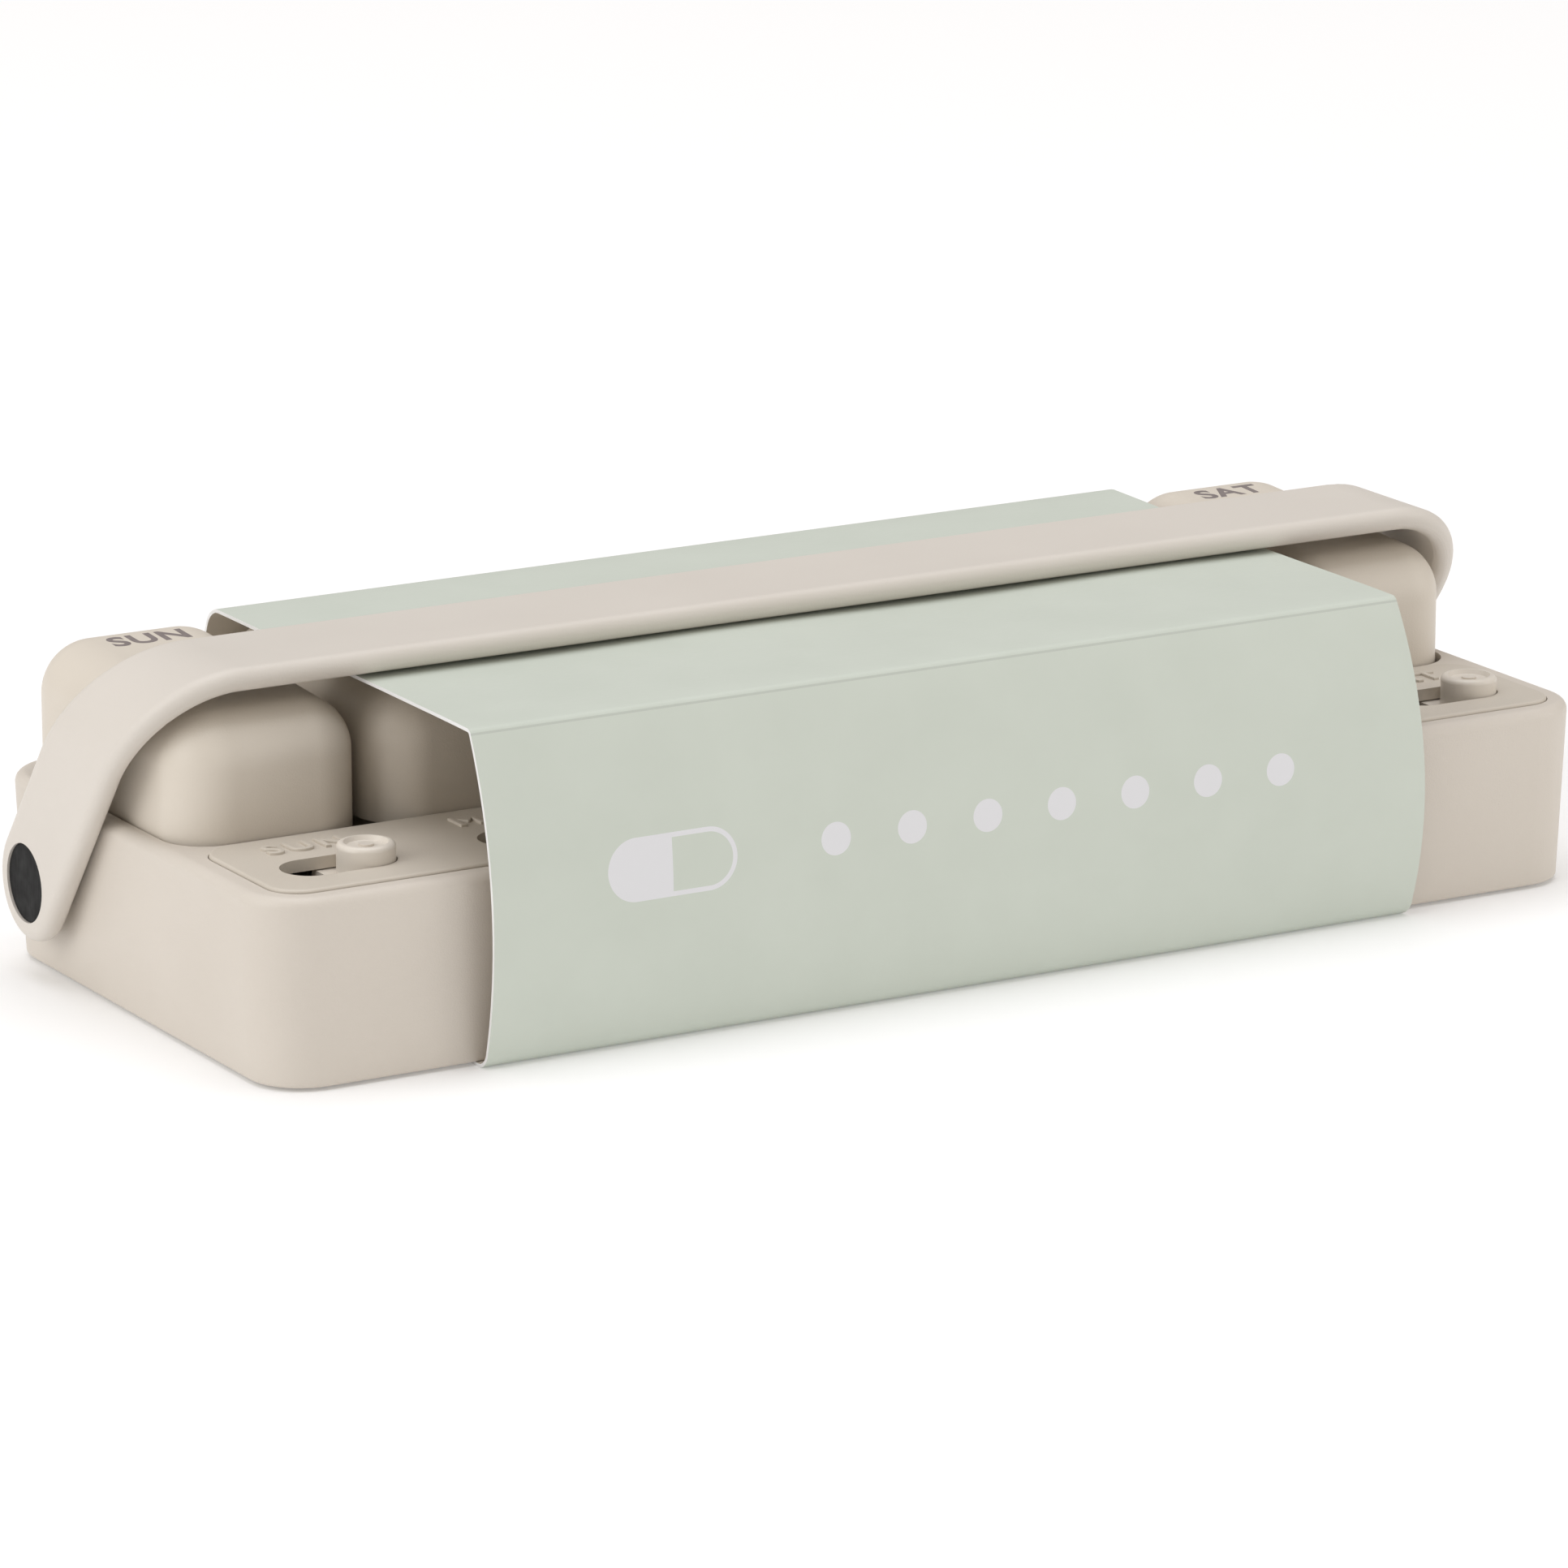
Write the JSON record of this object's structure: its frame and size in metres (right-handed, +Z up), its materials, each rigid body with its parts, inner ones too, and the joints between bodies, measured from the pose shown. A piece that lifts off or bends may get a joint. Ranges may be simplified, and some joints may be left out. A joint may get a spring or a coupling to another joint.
{
  "type": "weekly pill organizer",
  "caption": "Low tray of lidded day cups behind a deck of slide tabs, with a swinging carry handle pivoted on its ends and a plain card sleeve around the middle.",
  "frame": {"origin": "on the table under the middle of the tray, on the outer face of the sleeve's bottom panel", "axes": "+X along the row from the first day to the last, +Y to the back where the lids hinge, +Z up"},
  "size_m": [0.2288, 0.0958, 0.0525],
  "materials": {
    "beige_plastic": "satin",
    "card": "matte",
    "black_cap": "matte",
    "steel": "satin"
  },
  "bodies": {
    "tray": {"base_tray": "beige_plastic", "deck_plate": "beige_plastic", "cup_sun": "beige_plastic", "cup_mon": "beige_plastic", "cup_tue": "beige_plastic", "cup_wed": "beige_plastic", "cup_thu": "beige_plastic", "cup_fri": "beige_plastic", "cup_sat": "beige_plastic", "lid_mon": "beige_plastic", "lid_tue": "beige_plastic", "lid_wed": "beige_plastic", "lid_thu": "beige_plastic", "lid_fri": "beige_plastic", "hinge_pins": "steel", "pivot_stud_left": "steel", "pivot_stud_right": "steel", "sleeve": "card"},
    "handle_body": {"handle": "beige_plastic", "pivot_cap_left": "black_cap", "pivot_cap_right": "black_cap"},
    "slider_sun_body": {"slider_sun": "beige_plastic"},
    "slider_mon_body": {"slider_mon": "beige_plastic"},
    "slider_tue_body": {"slider_tue": "beige_plastic"},
    "slider_wed_body": {"slider_wed": "beige_plastic"},
    "slider_thu_body": {"slider_thu": "beige_plastic"},
    "slider_fri_body": {"slider_fri": "beige_plastic"},
    "slider_sat_body": {"slider_sat": "beige_plastic"},
    "lid_sun_body": {"lid_sun": "beige_plastic"},
    "lid_sat_body": {"lid_sat": "beige_plastic"}
  },
  "joints": [
    {"name": "handle_hinge", "type": "hinge", "parent": "tray", "child": "handle_body", "pos_m": [0, 0.0262, 0.0147], "axis": [-1, 0, 0], "range_deg": [0, 120]},
    {"name": "slider_sun_slide", "type": "slide", "parent": "tray", "child": "slider_sun_body", "axis": [-1, 0, 0], "range_m": [0, 0.0086]},
    {"name": "slider_mon_slide", "type": "slide", "parent": "tray", "child": "slider_mon_body", "axis": [-1, 0, 0], "range_m": [0, 0.0086]},
    {"name": "slider_tue_slide", "type": "slide", "parent": "tray", "child": "slider_tue_body", "axis": [-1, 0, 0], "range_m": [0, 0.0086]},
    {"name": "slider_wed_slide", "type": "slide", "parent": "tray", "child": "slider_wed_body", "axis": [-1, 0, 0], "range_m": [0, 0.0086]},
    {"name": "slider_thu_slide", "type": "slide", "parent": "tray", "child": "slider_thu_body", "axis": [-1, 0, 0], "range_m": [0, 0.0086]},
    {"name": "slider_fri_slide", "type": "slide", "parent": "tray", "child": "slider_fri_body", "axis": [-1, 0, 0], "range_m": [0, 0.0086]},
    {"name": "slider_sat_slide", "type": "slide", "parent": "tray", "child": "slider_sat_body", "axis": [-1, 0, 0], "range_m": [0, 0.0086]},
    {"name": "lid_sun_hinge", "type": "hinge", "parent": "tray", "child": "lid_sun_body", "pos_m": [0, 0.03785, 0.0303], "axis": [-1, 0, 0], "range_deg": [0, 72]},
    {"name": "lid_sat_hinge", "type": "hinge", "parent": "tray", "child": "lid_sat_body", "pos_m": [0, 0.03785, 0.0303], "axis": [-1, 0, 0], "range_deg": [0, 72]}
  ],
  "couplings": [
    {"joint": "lid_sun_hinge", "follows": "handle_hinge", "ratio": 0.6},
    {"joint": "lid_sat_hinge", "follows": "handle_hinge", "ratio": 0.6}
  ]
}
